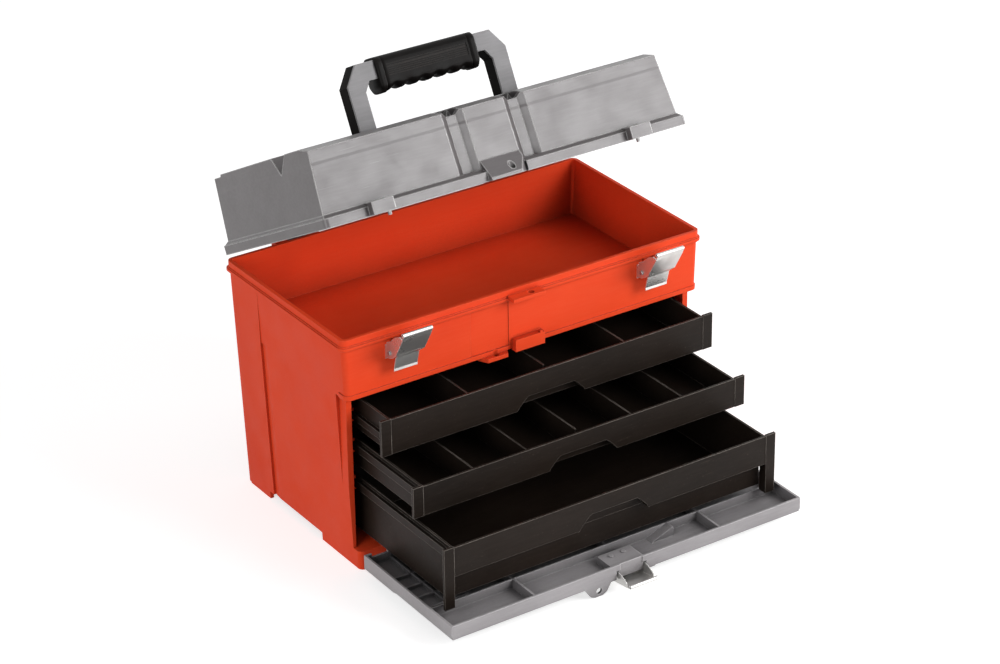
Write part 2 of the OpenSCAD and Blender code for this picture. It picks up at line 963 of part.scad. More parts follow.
module panel_ribs() {
    inside = panel_half - panel_rim_t + cut;
    box(-inside, inside, -rib_s - rib_t, -rib_s, panel_t - cut, rib_top);
    for (x = [-bay_x, bay_x])
        box(x - rib_t / 2, x + rib_t / 2, -panel_len + panel_rim_t - cut, -rib_s, panel_t - cut, rib_top);
    for (x = [-bay_x, 0, bay_x])
        box(x - rib_t / 2, x + rib_t / 2, -rib_s, -panel_rim_t + cut, panel_t - cut, rib_top - 1);
    // Small cells along the left end
    for (i = [1 : 4])
        box(-inside, -inside + 2 * cell_w + rib_t, -cell_pitch * i - cell_y - rib_t,
            -cell_pitch * i - cell_y, panel_t - cut, cell_top);
    for (i = [1 : 2])
        box(-inside + i * cell_w, -inside + i * cell_w + rib_t, -rib_s, -panel_rim_t,
            panel_t - cut, cell_top);
    // Ramp against the cross rib
    along_y(-rib_s - rib_t - ramp_deep, -rib_s - rib_t / 2)
        polygon([[ramp_x0, panel_t - cut], [ramp_x0, panel_t + ramp_low], [ramp_x1 - rib_t, rib_top],
            [ramp_x1, rib_top], [ramp_x1, panel_t - cut]]);
}

// Notches in the hinged edge that the bottom drawer's legs pass over
module leg_notches() {
    both_sides()
        box(box_half - leg_play, front_half + leg_play, -2 * panel_rim_t, cut, notch_floor, far);
}

module panel_lock_lug() {
    translate([0, -panel_len + lug_t, 0])
        rotate([90, 0, 0])
            linear_extrude(lug_t)
                polygon([[-62, 2], [-58, -1], [-51, -11], [-46, -13], [-36, -13], [-31, -10],
                    [-26, -1], [30, -1], [33, 2], [33, 4], [-62, 4]]);
}

module panel_ears() {
    for (x = panel_hinge_xs)
        along_x(x - ear_half, x + ear_half)
            polygon([[-4, 0], [-4, 11], [0, 11.5], [22, 0.4], [24, -2], [22.5, -11.3],
                [19, -9.5], [14, -3], [8, 0]]);
}

// Part of the free edge that stays between the latch's cheeks
module latch_web() {
    box(-web_half, web_half, -panel_len + 1, -panel_len + 3, 0, panel_rim - cut);
}

// Pocket that the latch sits in, open through the free edge
module latch_pocket(grow) {
    box(-pocket_half - grow, pocket_half + grow, grow > 0 ? -panel_len + 1 : -far,
        -pocket_s0 + grow, grow > 0 ? panel_t - cut : -far, pocket_top + grow);
}

module front_panel() {
    color(grey)
        difference() {
            union() {
                panel_moulding();
                for (x = panel_hinge_xs)
                    rod_x(x - ear_half - boss_out, x + ear_half + boss_out, panel_pivot_y,
                        panel_pivot_z, ear_r);
            }
            for (x = panel_hinge_xs)
                rod_x(x - ear_half - cut, x + ear_half + cut, panel_pivot_y, panel_pivot_z,
                    panel_pin_r + run_fit);
        }
}

module panel_moulding() {
    in_panel()
        difference() {
            union() {
                difference() {
                    union() {
                        panel_tray();
                        panel_ribs();
                        latch_pocket(pocket_wall);
                        panel_lock_lug();
                    }
                    latch_pocket(0);
                    leg_notches();
                }
                latch_web();
                panel_ears();
            }
            translate([panel_hole_x, -far / 2, -6.4])
                rotate([90, 0, 0])
                    cylinder(h = far, r = lock_hole_r, center = true);
            for (dx = [-rivet_x, rivet_x])
                translate([dx, -panel_rivet_s, 0])
                    cylinder(h = far / 10, r = rivet_r);
        }
}

module panel_hinge_pins() {
    color(steel)
        for (x = panel_hinge_xs)
            rod_x(x - panel_pin_half, x + panel_pin_half, panel_pivot_y, panel_pivot_z,
                panel_pin_r);
}

// ================= latches =================
// A lever is drawn in its plate's own plane: u runs up the plate from the finger lip,
// w points outward, and the pivot is at (pivot_u, pivot_w).

panel_rivet_s = 140;

module cheek_outline(depth) {
    intersection() {
        polygon([[10.5, -8.5], [12.5, -14], [17, -18.2], [24, -20.3], [28.5, -17.4],
            [30, -15.9], [38, -13], [42, -11.5], [50.5, -5.5], [51, -0.5], [24, -1], [fold_u, fold_w]]);
        translate([0, -depth])
            square([far, far]);
    }
}

module lever_shape(depth) {
    difference() {
        union() {
            for (side = [-1, 1])
                translate([side * (plate_half - sheet / 2), 0, 0])
                    lever_slice(sheet)
                        cheek_outline(depth);
            lever_slice(2 * plate_half)
                polygon([[24, -1], [50, 0], [latch_h - 1, -0.4], [latch_h - 1, -sheet - 0.4],
                    [50, -sheet], [24, -1 - sheet]]);
            lever_slice(2 * tail_half)
                polygon([[0, 1.4], [2.5, 0], [fold_u, fold_w + sheet], [25, -0.9], [25, -1.9],
                    [fold_u, fold_w], [2.2, -sheet], [-0.6, 0.8]]);
            lever_slice(2 * plate_half)
                translate([latch_h, -roll_r])
                    circle(roll_r);
        }
        lever_slice(4 * plate_half)
            translate([pivot_u, pivot_w])
                circle(latch_pin_r + run_fit);
        lever_slice(4 * plate_half)
            translate([latch_h, -roll_r])
                circle(roll_r - sheet);
    }
}

// Extrudes a (u, w) outline across the lever, with the pivot at the origin
module lever_slice(width) {
    translate([-width / 2, 0, 0])
        rotate([90, 0, 90])
            linear_extrude(width)
                rotate(90)
                    translate([-pivot_u, -pivot_w])
                        children();
}

module base_shape(ear_y, foot) {
    // Foot against the wall, and two ears that carry the pin
    difference() {
        union() {
            box(-base_ear_x, base_ear_x, ear_y - foot, ear_y, base_z0 - pivot_z, base_z1 - pivot_z);
            for (side = [-1, 1])
                translate([side * (base_ear_x - base_ear_t / 2), 0, 0]) {
                    rod_x(-base_ear_t / 2, base_ear_t / 2, 0, 0, base_ear_r);
                    along_x(-base_ear_t / 2, base_ear_t / 2)
                        polygon([[ear_y, base_z0 - pivot_z], [ear_y, base_z1 - pivot_z],
                            [0, base_ear_r], [0, -base_ear_r]]);
                }
        }
        rod_x(-far / 2, far / 2, 0, 0, latch_pin_r);
        for (dx = [-rivet_x, rivet_x])
            translate([dx, ear_y - foot - cut, base_z1 - pivot_z - rivet_up])
                rotate([-90, 0, 0])
                    cylinder(h = foot + 2 * cut, r = rivet_r);
    }
}

module pin_shape() {
    rod_x(-plate_half - pin_play, plate_half + pin_play, 0, 0, latch_pin_r);
    both_sides()
        rod_x(plate_half + pin_play, plate_half + pin_play + pin_head_t, 0, 0, pin_head_r);
}

module rivet_shape(through) {
    // Domed head at the origin, facing -Y, with its tail clenched behind the wall
    rotate([90, 0, 0]) {
        rotate_extrude()
            polygon([[0, 0], [rivet_head_r, 0], [rivet_head_r * 0.8, rivet_head_h * 0.7],
                [rivet_head_r * 0.4, rivet_head_h], [0, rivet_head_h]]);
        translate([0, 0, -through])
            cylinder(h = through, r = rivet_r);
        translate([0, 0, -through - tail_t])
            cylinder(h = tail_t, r = rivet_r + tail_t);
    }
}

module at_side_latch(side) {
    translate([side * latch_x, pivot_y, pivot_z])
        children();
}

module side_lever(side) {
    color(chrome)
        at_side_latch(side)
            rotate([latch_lean, 0, 0])
                lever_shape(far);
}

module side_base(side) {
    color(chrome)
        at_side_latch(side)
            base_shape(-wall_y - pivot_y, sheet);
}

module side_pin(side) {
    color(steel)
        at_side_latch(side)
            pin_shape();
}

module side_rivets(side) {
    color(steel)
        for (dx = [-rivet_x, rivet_x])
            translate([side * latch_x + dx, -wall_y - sheet, base_z1 - rivet_up])
                rivet_shape(wall + sheet);
}

module at_panel_latch() {
    in_panel()
        translate([0, -panel_pivot_s, panel_pivot_h])
            rotate([90, 0, 0])
                children();
}

module left_latch_base() { side_base(-1); }
module left_latch_lever() { side_lever(-1); }
module left_latch_pin() { side_pin(-1); }
module left_latch_rivets() { side_rivets(-1); }
module right_latch_base() { side_base(1); }
module right_latch_lever() { side_lever(1); }
module right_latch_pin() { side_pin(1); }
module right_latch_rivets() { side_rivets(1); }

module panel_latch_base() {
    color(chrome)
        at_panel_latch()
            panel_base_shape();
}

module panel_base_shape() {
    roof = pocket_top - panel_pivot_h;
    difference() {
        union() {
            box(-base_ear_x, base_ear_x, roof - sheet, roof, -10, 8);
            for (side = [-1, 1])
                translate([side * (base_ear_x - base_ear_t / 2), 0, 0]) {
                    rod_x(-base_ear_t / 2, base_ear_t / 2, 0, 0, base_ear_r);
                    along_x(-base_ear_t / 2, base_ear_t / 2)
                        polygon([[roof, -8], [roof, 8], [0, base_ear_r], [0, -base_ear_r]]);
                }
        }
        rod_x(-far / 2, far / 2, 0, 0, latch_pin_r);
        for (dx = [-rivet_x, rivet_x])
            translate([dx, roof - sheet - cut, panel_rivet_s - panel_pivot_s])
                rotate([-90, 0, 0])
                    cylinder(h = sheet + 2 * cut, r = rivet_r);
    }
}

module panel_latch_lever() {
    color(chrome)
        at_panel_latch()
            rotate([panel_latch_turn, 0, 0])
                lever_shape(15.5);
}

module panel_latch_pin() {
    color(steel)
        at_panel_latch()
            pin_shape();
}

module panel_latch_rivets() {
    color(steel)
        in_panel()
            for (dx = [-rivet_x, rivet_x])
                translate([dx, -panel_rivet_s, pocket_top - sheet])
                    rotate([90, 0, 0])
                        rivet_shape(pocket_wall + sheet);
}

body();
lid();
lid_hinge_pins();
handle_frame();
handle_face();
handle_grip();
handle_pins();
top_drawer();
middle_drawer();
bottom_drawer();
top_drawer_dividers();
middle_drawer_dividers();
front_panel();
panel_hinge_pins();
left_latch_base();
left_latch_lever();
left_latch_pin();
left_latch_rivets();
right_latch_base();
right_latch_lever();
right_latch_pin();
right_latch_rivets();
panel_latch_base();
panel_latch_lever();
panel_latch_pin();
panel_latch_rivets();
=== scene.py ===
# %% [markdown]
# # A portable tool box with drawers
#
# The box is a tub of red moulded plastic. A grey lid with a carrying handle is
# hinged along its rear edge, black drawers slide out of its front, and a grey
# front panel folds down in front of them. Two bright latches hold the lid and
# one holds the panel.
#
# The solids of the box come ready made from the construction model, each as one
# mesh, and they stay where they are. This lesson adds what they lack: the soft
# grip, the finishes, the light and the camera.

# %% Load the solids
import math

import bmesh
import bpy
from mathutils import Matrix, Vector


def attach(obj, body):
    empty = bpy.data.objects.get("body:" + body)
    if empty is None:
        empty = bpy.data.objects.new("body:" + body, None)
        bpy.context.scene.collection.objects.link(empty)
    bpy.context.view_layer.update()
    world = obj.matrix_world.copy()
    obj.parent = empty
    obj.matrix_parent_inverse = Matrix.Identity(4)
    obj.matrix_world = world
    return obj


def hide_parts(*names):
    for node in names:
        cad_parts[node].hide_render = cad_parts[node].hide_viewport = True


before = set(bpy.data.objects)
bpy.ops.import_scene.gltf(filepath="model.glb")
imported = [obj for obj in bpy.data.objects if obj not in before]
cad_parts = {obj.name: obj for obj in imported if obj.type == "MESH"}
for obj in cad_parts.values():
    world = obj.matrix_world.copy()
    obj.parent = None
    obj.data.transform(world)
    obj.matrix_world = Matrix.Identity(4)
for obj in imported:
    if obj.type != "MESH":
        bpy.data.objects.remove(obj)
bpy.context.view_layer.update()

print("solids:", sorted(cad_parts))

# %% [markdown]
# ## Measures
#
# The solids are drawn in millimetres and Blender works in metres, so `MM` turns
# one into the other. Everything on the lid is easiest to place while the lid is
# closed and level. `LID` then turns it about the hinge line to where the lid
# stands.

# %% Measures and the tilted lid
MM = 0.001
HINGE = Vector((0, 124.25, 273.2)) * MM
LID_OPEN = math.radians(28.13)
LID = Matrix.Translation(HINGE) @ Matrix.Rotation(-LID_OPEN, 4, "X") \
    @ Matrix.Translation((0, -HINGE.y, 0))
print("hinge line at", tuple(HINGE))

# %% [markdown]
# ## Working by hand, in code
#
# The operators of Blender act on whatever is selected, as they do for somebody
# at the keyboard. `pick` therefore clears the selection first and then takes
# the faces or edges that a small test accepts. `settle` writes an object's
# place into its mesh, so that the object itself rests at the origin.

# %% Selecting and settling
SAME_POINT = 1e-6


def lone(obj):
    """Makes obj the only selected object."""
    bpy.ops.object.select_all(action="DESELECT")
    obj.select_set(True)
    bpy.context.view_layer.objects.active = obj


def edit(obj, kind="FACE"):
    """Opens obj in edit mode with nothing selected."""
    lone(obj)
    bpy.ops.object.mode_set(mode="EDIT")
    bpy.ops.mesh.select_mode(type=kind)
    bpy.ops.mesh.select_all(action="DESELECT")


def pick(obj, test, kind="faces"):
    """Selects the faces or edges of obj that test accepts.

    The test gets the middle of each, and a face's normal or an edge's direction.
    """
    bpy.ops.mesh.select_all(action="DESELECT")
    shape = bmesh.from_edit_mesh(obj.data)
    shape.normal_update()
    count = 0
    for item in getattr(shape, kind):
        if kind == "faces":
            middle, way = item.calc_center_median(), item.normal
        else:
            middle = (item.verts[0].co + item.verts[1].co) / 2
            way = (item.verts[1].co - item.verts[0].co).normalized()
        if test(middle, way):
            item.select_set(True)
            count += 1
    shape.select_flush_mode()
    bmesh.update_edit_mesh(obj.data)
    return count


def done(obj):
    """Leaves edit mode with doubled points merged and the faces turned outwards."""
    bpy.ops.mesh.select_all(action="SELECT")
    bpy.ops.mesh.remove_doubles(threshold=SAME_POINT)
    bpy.ops.mesh.normals_make_consistent(inside=False)
    bpy.ops.object.mode_set(mode="OBJECT")


def settle(obj, place=None):
    """Turns obj into its place and writes that into its mesh."""
    lone(obj)
    if place is not None:
        obj.matrix_world = place @ obj.matrix_world
    bpy.ops.object.transform_apply(location=True, rotation=True, scale=True)


print("hands ready")

# %% [markdown]
# ## Shader arithmetic
#
# A finish is a sum of masks: grain, scuffs, dirt with painted shade in the inner
# corners, and worn edges with a painted highlight. `Wire` lets those be written
# as ordinary Python sums. Each operator adds one Math node and returns its output.
# `Finish` holds one material and adds every other node.
#
# An edge is found where a rounded normal leans away from the flat one: the two
# `LEAN` numbers are cosines. An inner corner, where shade is painted, is found
# where little of the surroundings is open: the two `OPEN` numbers are shares.

# %% Wires and finishes
RAY_SAMPLES = 4
LEAN_NONE, LEAN_FULL = 0.995, 0.9
# Shares of open surroundings between which the painted shade and dirt go from none to full
OPEN_UNSHADED_CLEAN, OPEN_SHADED_DIRTY = 0.66, 0.28


class Wire:
    """The output of a node, used in sums."""

    def __init__(self, finish, socket):
        self.finish = finish
        self.socket = socket

    def sum_with(self, operation, first, second):
        return self.finish.node("ShaderNodeMath", {"operation": operation}, {0: first, 1: second})

    def __add__(self, other):
        return self.sum_with("ADD", self, other)

    __radd__ = __add__

    def __sub__(self, other):
        return self.sum_with("SUBTRACT", self, other)

    def __rsub__(self, other):
        return self.sum_with("SUBTRACT", other, self)

    def __mul__(self, other):
        return self.sum_with("MULTIPLY", self, other)

    __rmul__ = __mul__


class Finish:
    """One material while its nodes are being laid out."""

    def __init__(self, name):
        self.material = bpy.data.materials.new(name)
        self.material.use_nodes = True
        self.tree = self.material.node_tree
        self.shader = self.tree.nodes["Principled BSDF"]
        self.place = self.node("ShaderNodeTexCoord", {}, {}, "Object")

    def connect(self, target, value):
        if isinstance(value, Wire):
            self.tree.links.new(value.socket, target)
        else:
            target.default_value = value

    def node(self, kind, settings, sockets, output=0):
        """Adds a node: first its settings, then its sockets, and returns one output."""
        made = self.tree.nodes.new(kind)
        for key, value in settings.items():
            setattr(made, key, value)
        for key, value in sockets.items():
            self.connect(made.inputs[key], value)
        return Wire(self, made.outputs[output])

    def noise(self, scale, detail=3, vector=None, roughness=0.55):
        return self.node("ShaderNodeTexNoise", {},
            {"Vector": vector or self.place, "Scale": scale, "Detail": detail,
             "Roughness": roughness})

    def stretched(self, scale, turn=(0, 0, 0)):
        """Object coordinates with each axis scaled, for streaks and scratches."""
        return self.node("ShaderNodeMapping", {},
            {"Vector": self.place, "Scale": scale, "Rotation": turn})

    def ramp(self, value, low, high, dark=0.0, light=1.0):
        return self.node("ShaderNodeMapRange", {"clamp": True},
            {"Value": value, "From Min": low, "From Max": high, "To Min": dark, "To Max": light})

    def blend(self, mask, first, second):
        return self.node("ShaderNodeMix", {"data_type": "RGBA"},
            {0: mask, 6: colour(first), 7: colour(second)}, 2)

    def edges(self, radius):
        """Two wires: a rounded normal, and how far it leaves the flat one."""
        round_normal = self.node("ShaderNodeBevel", {"samples": RAY_SAMPLES},
            {"Radius": radius * MM})
        flat_normal = self.node("ShaderNodeNewGeometry", {}, {}, "Normal")
        across = self.node("ShaderNodeVectorMath", {"operation": "DOT_PRODUCT"},
            {0: round_normal, 1: flat_normal}, "Value")
        return round_normal, self.ramp(across, LEAN_NONE, LEAN_FULL)

    def shade_and_dirt_mask(self, reach, alone):
        """A mask that is 1 in inner corners and narrow gaps, where shade is painted and dirt
        collects.

        With alone set, the piece's neighbours don't count; without it, the shade they cast is
        painted too.
        """
        # Ambient occlusion marks where shade is painted, along with dirt
        open_share = self.node("ShaderNodeAmbientOcclusion",
            {"samples": RAY_SAMPLES, "only_local": alone}, {"Distance": reach * MM}, "AO")
        return self.ramp(open_share, OPEN_UNSHADED_CLEAN, OPEN_SHADED_DIRTY)

    def bump(self, height, strength, distance, normal=None):
        sockets = {"Height": height, "Strength": strength, "Distance": distance * MM}
        if normal is not None:
            sockets["Normal"] = normal
        return self.node("ShaderNodeBump", {}, sockets)

    def close(self, **inputs):
        """Feeds the shader; underscores in the names stand for spaces."""
        for key, value in inputs.items():
            self.connect(self.shader.inputs[key.replace("_", " ")], value)
        return self.material


def colour(value):
    """A wire stays as it is, and screen values from 0 to 255 become light."""
    if isinstance(value, Wire):
        return value
    return tuple(((v / 255 + 0.055) / 1.055) ** 2.4 if v > 10 else v / 255 / 12.92
        for v in value) + (1,)


print("tools ready")

# %% [markdown]
# ## Moulded plastic
#
# All the plastics leave the mould with a fine spark-eroded grain. Handling
# rubs it shiny in patches and drags pale scratches across it. Its sharp edges
# are whitened, partly by wear and partly as a painted highlight, and its inner
# corners are darkened, partly by dirt and partly as painted shade. One function
# lays these down, and each plastic gives it its own colours and strengths. The
# grain is only bump, a tenth of a millimetre deep. The lid also has a faint step
# all round, where two parts of its mould met. It is too shallow to be worth
# faces, so it is bump too, made strong enough to show from where the camera stands.

# %% The moulded plastics
GRAIN_DEPTH = 0.12
# How dark the painted shade and dirt in the corners make the dark tone
SHADE_AND_DIRT_TONE = 0.3
SEAM_HALF_WIDTH = 1.5
SEAM_OVER_GRAIN = 36
LID_SEAM_HEIGHT = 65


def moulded(name, base, dark, pale, worn_edge_highlight, grain, scratch, edge_wear_and_highlight, rough, shine, radius=0.9,
        speckle=0.0, mottle=0.1, dirt_and_shade=0.6, reach=14, alone=False, seam=None):
    """A moulded plastic; lengths are millimetres and noise scales are turns per metre.

    base and dark are its two tones, pale is the colour of its scratches, and the
    fourth colour is that of its edges, worn and with a painted highlight. reach is
    how far from an inner corner the painted shade and dirt lie.
    """
    finish = Finish(name)
    rounded, edge = finish.edges(radius)
    # Painted shade and dirt in inner corners and narrow gaps
    corner_shade_and_dirt = finish.shade_and_dirt_mask(reach, alone)
    # Slow clouds and smaller patches, then the pits and pebbles of the grain
    cloud = finish.noise(7, 4)
    patch = finish.noise(34, 5)
    pits = finish.noise(1500, 2, roughness=0.7)
    pebble = finish.noise(420, 3)
    # Scratches in two directions, each kept to its own share of the clouds
    lines = finish.noise(60, 3, finish.stretched((0.35, 9, 9), (0.2, 0.5, 0.3)))
    cross = finish.noise(55, 3, finish.stretched((7, 0.4, 8), (0.5, 0.1, 1.1)))
    scuffs = finish.ramp(lines, 0.66, 0.76) * finish.ramp(cloud, 0.5, 0.64) \
        + finish.ramp(cross, 0.68, 0.78) * finish.ramp(cloud, 0.5, 0.36)
    # Fine streaks along the width, over a base of two tones
    grainy = finish.noise(260, 4, finish.stretched((0.12, 1, 1.3)), 0.7)
    tone = finish.blend(finish.ramp(cloud, 0.35, 0.68), base, dark)
    tone = finish.blend(finish.ramp(grainy, 0.42, 0.6) * mottle, tone, pale)
    # Flecks and scratches, then painted shade and dirt in the corners, then wear and a painted
    # highlight on the edges
    flecks = finish.ramp(pebble, 0.66, 0.74) * speckle + scuffs * scratch
    rubbed = finish.blend(flecks, tone, pale)
    # Painted shade and dirt: the corners take a darker copy of the dark tone
    shaded_and_soiled = finish.blend(corner_shade_and_dirt * dirt_and_shade, rubbed, tuple(v * SHADE_AND_DIRT_TONE for v in dark))
    # Edges away from the corners get wear and a painted highlight
    worn_lit_edges = edge * (1 - corner_shade_and_dirt) * finish.ramp(patch, 0.4, 0.6, 0.55, 1.0) * edge_wear_and_highlight
    skin_tone = finish.blend(worn_lit_edges, shaded_and_soiled, worn_edge_highlight)
    gloss = rough + finish.ramp(patch, 0.35, 0.7, -0.06, 0.06) + scuffs * 0.1
    relief = pits + pebble * 0.5 + lines * 0.25
    if seam is not None:
        # The height over the hinge line, along the lid's own upright
        up = LID.to_3x3() @ Vector((0, 0, 1))
        level = finish.node("ShaderNodeVectorMath", {"operation": "DOT_PRODUCT"},
            {0: finish.place, 1: up}, "Value") - (HINGE.dot(up) + seam * MM)
        step = finish.ramp(level, -SEAM_HALF_WIDTH * MM, SEAM_HALF_WIDTH * MM)
        relief = relief + step * SEAM_OVER_GRAIN
    skin = finish.bump(relief, grain, GRAIN_DEPTH, rounded)
    return finish.close(Base_Color=skin_tone, Roughness=gloss, Normal=skin,
        Specular_IOR_Level=shine)


# The fourth colour is each plastic's edge: wear with a painted highlight. The red's long reach
# paints shade over the inside of the tub, and on the panel, where neighbours count, the painted
# shade takes in the shadow of the drawers.
red_plastic = moulded("red_moulded_plastic", (243, 76, 38), (236, 69, 34), (250, 122, 86),
    (252, 128, 92), grain=0.16, scratch=0.2, edge_wear_and_highlight=0.35, rough=0.5, shine=0.12, mottle=0.05,
    dirt_and_shade=0.85, reach=90, alone=True)
grey_plastic = moulded("grey_moulded_plastic", (101, 96, 97), (91, 86, 87), (150, 148, 148),
    (246, 245, 243), grain=0.25, scratch=0.35, edge_wear_and_highlight=0.95, rough=0.35, radius=1.9, shine=0.64,
    mottle=0.07, dirt_and_shade=0.85, reach=26, seam=LID_SEAM_HEIGHT)
face_plastic = moulded("grey_handle_plastic", (134, 132, 134), (120, 118, 120), (172, 170, 171),
    (226, 225, 224), grain=0.25, scratch=0.3, edge_wear_and_highlight=0.6, rough=0.46, radius=1.2, shine=0.42)
panel_plastic = moulded("grey_panel_plastic", (168, 164, 166), (150, 146, 148), (206, 203, 204),
    (244, 242, 242), grain=0.25, scratch=0.35, edge_wear_and_highlight=0.8, rough=0.44, radius=1.2, shine=0.36,
    dirt_and_shade=0.85, reach=50)
black_plastic = moulded("black_drawer_plastic", (33, 25, 20), (24, 18, 14), (84, 74, 66),
    (160, 152, 144), grain=0.4, scratch=0.4, edge_wear_and_highlight=0.9, rough=0.46, radius=1.0, speckle=0.4,
    shine=0.13, mottle=0.04, dirt_and_shade=0.8, reach=40)
handle_plastic = moulded("black_handle_plastic", (15, 12, 11), (10, 8, 8), (60, 56, 54),
    (84, 78, 74), grain=0.3, scratch=0.15, edge_wear_and_highlight=0.4, rough=0.58, shine=0.03, mottle=0.03)
plastics = (red_plastic, grey_plastic, face_plastic, panel_plastic, black_plastic, handle_plastic)
print("plastics:", [plastic.name for plastic in plastics])

# %% [markdown]
# ## Rubber and metal
#
# The grip is a soft black rubber sleeve with a dull, dusty bloom. A second,
# paler rubber is for the floors of the grooves on its front. The latches are
# bent from sheet steel and plated with chrome, so they mirror their
# surroundings, a little blurred where the sheet is wavy. Pins and rivets are
# plain steel with turning marks. The sharp edges of all the metal get a painted
# white highlight.

# %% The rubber and the metals
SHEET_EDGE_RADIUS = 0.7
# The white of the painted highlight on the sheet's edges
PAINTED_EDGE_HIGHLIGHT = (250, 249, 246)
SMUDGED = 0.86
MIRROR, MIRROR_LOST_AT_EDGE = 0.84, 0.6
DENT_DEPTH = 0.6


def soft_rubber(name, dark, light):
    finish = Finish(name)
    bloom = finish.noise(60, 5)
    dots = finish.noise(1100, 2)
    tone = finish.blend(finish.ramp(bloom, 0.42, 0.7), dark, light)
    return finish.close(Base_Color=tone, Roughness=finish.ramp(bloom, 0.3, 0.7, 0.4, 0.55),
        Normal=finish.bump(dots, 0.25, 0.1), Specular_IOR_Level=0.1)


def plated(name, tone, rough, wave):
    finish = Finish(name)
    rounded, edge = finish.edges(SHEET_EDGE_RADIUS)
    dents = finish.noise(30, 1)
    hairs = finish.noise(90, 3, finish.stretched((1, 14, 14), (0, 0.3, 0.2)))
    smudge = finish.noise(26, 4)
    tint = finish.blend(finish.ramp(smudge, 0.35, 0.7), tone, tuple(v * SMUDGED for v in tone))
    # Painted highlight: the edges turn white and lose mirror, so that the white shows
    edge_highlighted = finish.blend(edge, tint, PAINTED_EDGE_HIGHLIGHT)
    dulled = rough + finish.ramp(smudge, 0.4, 0.7, 0.0, 0.1) + finish.ramp(hairs, 0.6, 0.7, 0, 0.1)
    return finish.close(Base_Color=edge_highlighted, Metallic=MIRROR - edge * MIRROR_LOST_AT_EDGE,
        Roughness=dulled, Normal=finish.bump(dents + hairs * 0.02, wave, DENT_DEPTH, rounded))


rubber = soft_rubber("grip_rubber", (11, 9, 8), (19, 16, 15))
rubbed_rubber = soft_rubber("rubbed_grip_rubber", (40, 37, 35), (60, 56, 54))
chrome = plated("latch_chrome", (226, 224, 221), 0.26, 0.14)
steel = plated("pin_steel", (176, 176, 180), 0.3, 0.1)
print("metals:", chrome.name, steel.name)

# %% [markdown]
# ## Who wears what
#
# Every solid from the construction model gets one finish, chosen by its name.
# The rivets of the panel's latch are moulded heads, so they wear its plastic.

# %% Dress the solids
FINISHES = {"body": red_plastic, "lid": grey_plastic, "handle_face": face_plastic,
    "front_panel": panel_plastic, "handle_frame": handle_plastic, "handle_grip": rubber}
for title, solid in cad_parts.items():
    if "drawer" in title:
        coat = black_plastic
    elif title.endswith(("_lever", "_base")):
        coat = chrome
    elif title == "panel_latch_rivets":
        coat = panel_plastic
    elif title.endswith(("pin", "pins", "rivets")):
        coat = steel
    else:
        coat = FINISHES[title]
    solid.data.materials.clear()
    solid.data.materials.append(coat)
    print(title, "->", coat.name)

# %% [markdown]
# ## The grip
#
# The grip is a thick rubber sleeve over the handle's bar. Its underside has a
# hollow for each finger, its front carries fine lengthwise grooves, and a collar
# closes each end. It is pulled out of one rounded face, station by station. At
# each station the newest face is made taller or lower about its top edge, so
# the waves appear only underneath.

# %% The grip's measures, in millimetres with the lid level
GRIP_HALF = 62
GRIP_LOW, GRIP_HIGH = 118, 157
GRIP_FRONT, GRIP_REAR = -18.9, 11.1
GRIP_MIDDLE = (GRIP_FRONT + GRIP_REAR) / 2
CORNER, CORNER_STEPS = 8.5, 6
COLLAR, COLLAR_DEPTH, COLLAR_HEIGHT = 7, 15.0, 39.0
END_ROUND, END_SHRINK = 2.2, 0.10
NECK, NECK_DEPTH, NECK_HEIGHT = 2.4, 13.6, 36.4
SLEEVE_DEPTH, SLEEVE_EXTRA = 14.6, 1.4
FINGERS, WAVE = 6, 1.7


def grip_section(x):
    """Half depth and height of the grip at x."""
    end = GRIP_HALF - abs(x)
    if end < COLLAR:
        swell = 1.0 - END_SHRINK * max(0.0, 1 - end / END_ROUND) ** 2
        return COLLAR_DEPTH * swell, COLLAR_HEIGHT * swell
    if end < COLLAR + NECK:
        return NECK_DEPTH, NECK_HEIGHT
    span = 2 * (GRIP_HALF - COLLAR - NECK)
    wave = math.cos(2 * math.pi * FINGERS * (x + span / 2) / span)
    return SLEEVE_DEPTH, NECK_HEIGHT - WAVE * (1 - wave) + SLEEVE_EXTRA


print("grip at its middle:", grip_section(0))

# %% Pull the grip out of one face
STATIONS = 74
ROWS = 19


def pull_grip():
    bpy.ops.object.select_all(action="DESELECT")
    bpy.ops.mesh.primitive_plane_add(size=1, rotation=(0, math.radians(90), 0))
    grip = bpy.context.object
    grip.name = grip.data.name = "rubber_grip"
    settle(grip)
    edit(grip, "VERT")
    bpy.ops.mesh.select_all(action="SELECT")
    depth, height = grip_section(-GRIP_HALF)
    bpy.ops.transform.resize(value=(1, 2 * depth * MM, height * MM))
    start = Vector((-GRIP_HALF, GRIP_MIDDLE, GRIP_HIGH - height / 2))
    bpy.ops.transform.translate(value=start * MM)
    bpy.ops.mesh.bevel(offset=CORNER * MM, segments=CORNER_STEPS, affect="VERTICES")
    bpy.ops.mesh.select_mode(type="EDGE")

    def on_front(middle, way):
        return middle.y < (GRIP_MIDDLE - depth + 0.2) * MM and abs(way.z) > 0.99

    pick(grip, on_front, "edges")
    bpy.ops.mesh.subdivide(number_cuts=ROWS - 1)
    bpy.ops.mesh.select_mode(type="FACE")
    bpy.ops.mesh.select_all(action="SELECT")
    step = 2 * GRIP_HALF / STATIONS
    for i in range(1, STATIONS + 1):
        x = -GRIP_HALF + i * step
        new_depth, new_height = grip_section(x)
        bpy.ops.mesh.extrude_region_move(TRANSFORM_OT_translate={"value": (step * MM, 0, 0)})
        bpy.ops.transform.resize(value=(1, new_depth / depth, new_height / height),
            center_override=Vector((x, GRIP_MIDDLE, GRIP_HIGH)) * MM)
        depth, height = new_depth, new_height
    done(grip)
    return grip


grip = pull_grip()
grip.data.materials.append(rubber)
grip.data.materials.append(rubbed_rubber)
print("grip faces:", len(grip.data.polygons))

